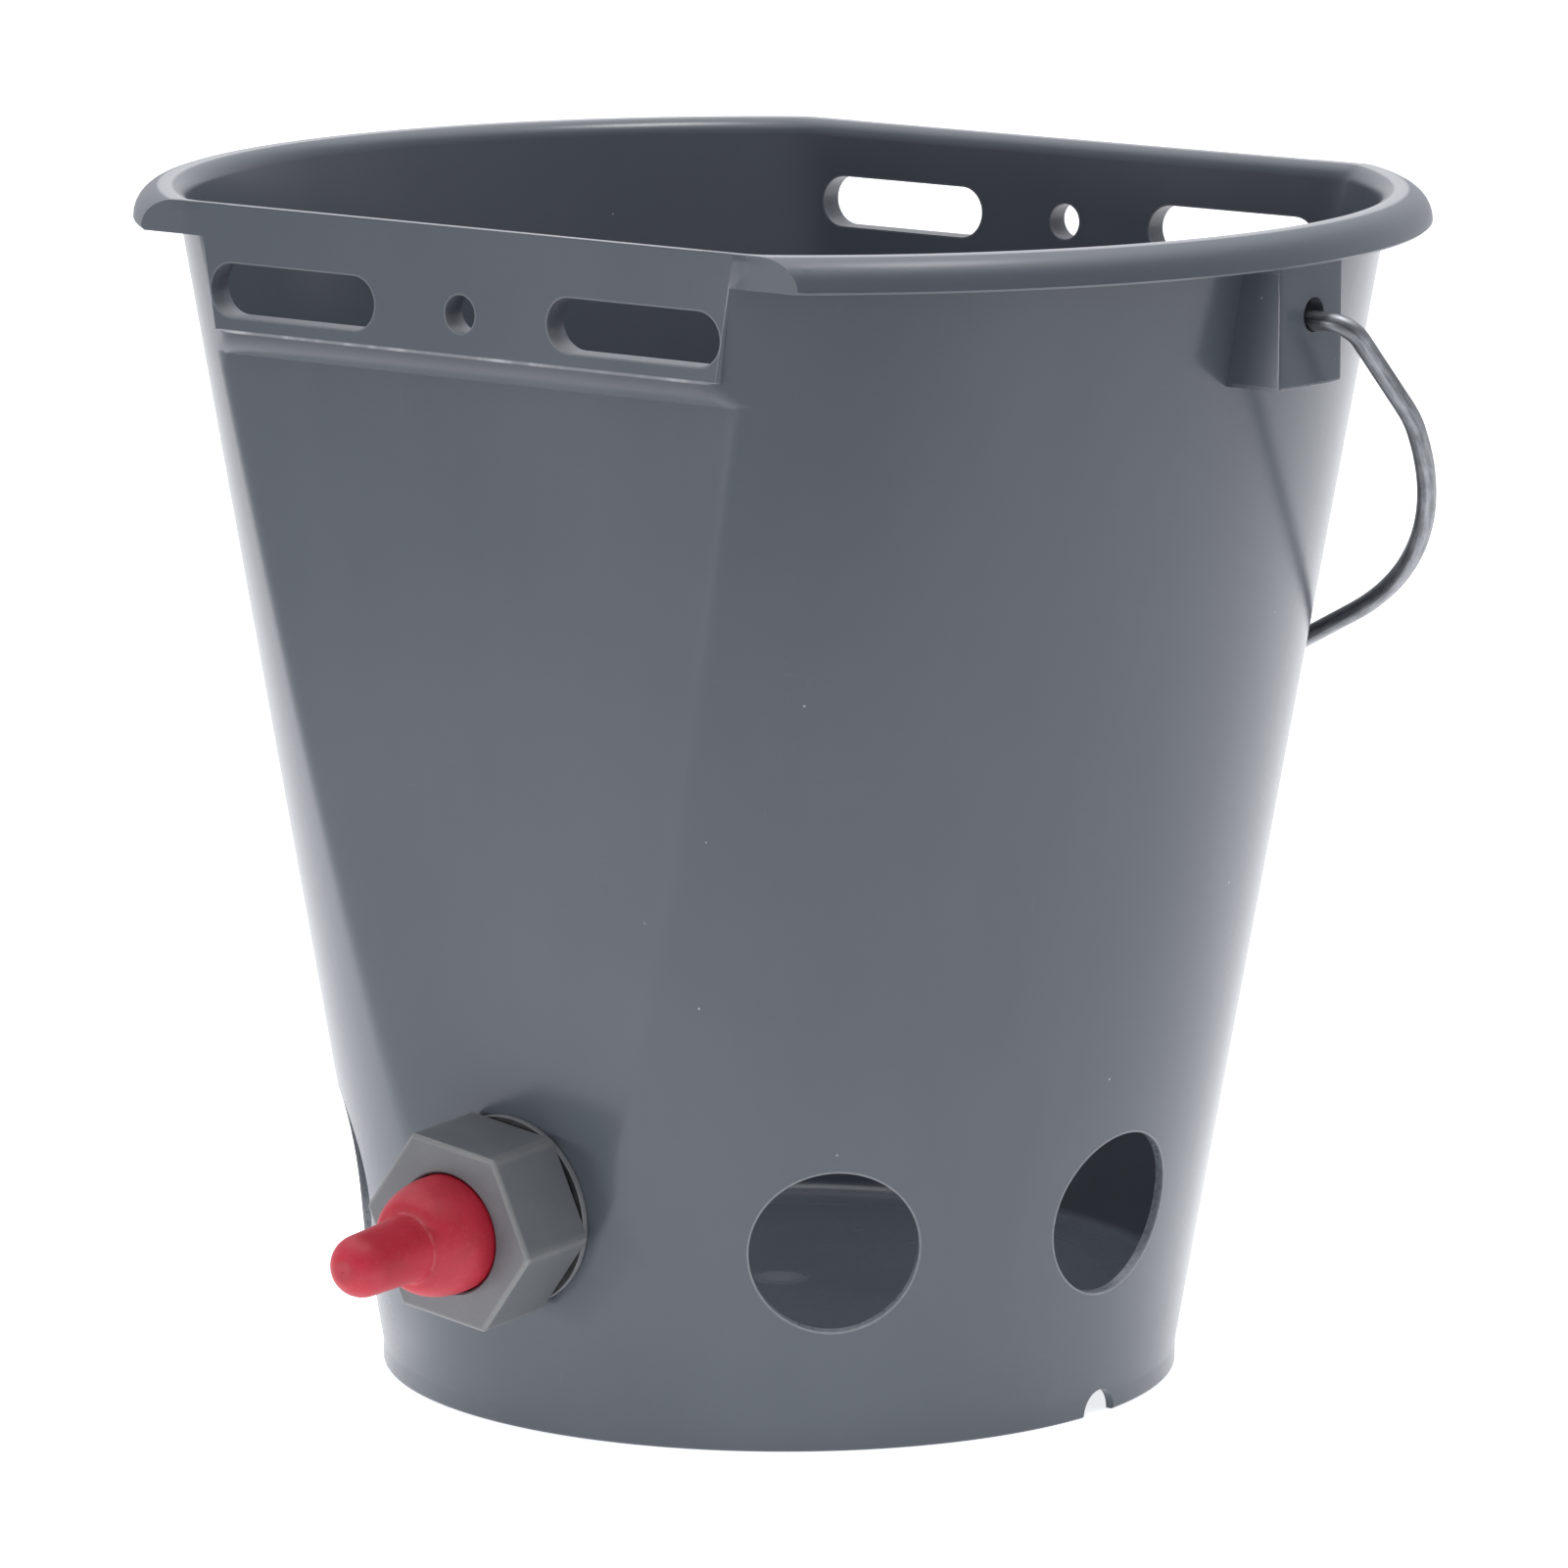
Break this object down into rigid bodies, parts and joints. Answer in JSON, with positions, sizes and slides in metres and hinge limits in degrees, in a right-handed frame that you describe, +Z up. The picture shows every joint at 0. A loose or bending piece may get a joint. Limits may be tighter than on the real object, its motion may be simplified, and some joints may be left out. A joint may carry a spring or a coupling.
{
  "type": "multi teat lamb feeder",
  "caption": "Tapered lamb-feeding bucket with flat slotted hanging sides, a swinging wire bail, low teat holes and a rubber teat held by a union nut over a ball valve.",
  "frame": {"origin": "centre of the base skirt, on the ground", "axes": "+Z up; the fitted teat points to -Y; the bail turns about X, through the two ears"},
  "size_m": [0.2892, 0.2526, 0.25],
  "materials": {
    "grey_plastic": "satin, moulded",
    "nut_plastic": "satin, moulded",
    "wire": "galvanised",
    "red_rubber": "matt",
    "black_rubber": "matt",
    "white_plastic": "smooth"
  },
  "bodies": {
    "bucket": {"bucket": "grey_plastic", "seat_washer": "nut_plastic", "valve_body": "nut_plastic", "flange_gasket": "black_rubber", "ball_cage": "nut_plastic"},
    "bail": {"bail": "wire"},
    "teat": {"teat": "red_rubber"},
    "nut": {"union_nut": "nut_plastic"},
    "ball": {"valve_ball": "white_plastic"}
  },
  "joints": [
    {"name": "bail_swing", "type": "hinge", "parent": "bucket", "child": "bail", "pos_m": [0, 0, 0.23175], "axis": [1, 0, 0], "range_deg": [0, 266]},
    {"name": "teat_draw", "type": "slide", "parent": "bucket", "child": "teat", "axis": [0, -0.9977, -0.0684], "range_m": [0, 0.012]},
    {"name": "nut_spin", "type": "hinge", "parent": "teat", "child": "nut", "pos_m": [0, -0.08856, 0.0475], "axis": [0, -0.9977, -0.0684], "range_deg": [0, 1436]},
    {"name": "ball_lift", "type": "slide", "parent": "bucket", "child": "ball", "axis": [0, -0.9977, -0.0684], "range_m": [0, 0.003]}
  ],
  "couplings": [
    {"joint": "teat_draw", "follows": "nut_spin", "m_per_rad": 0.00047746}
  ]
}
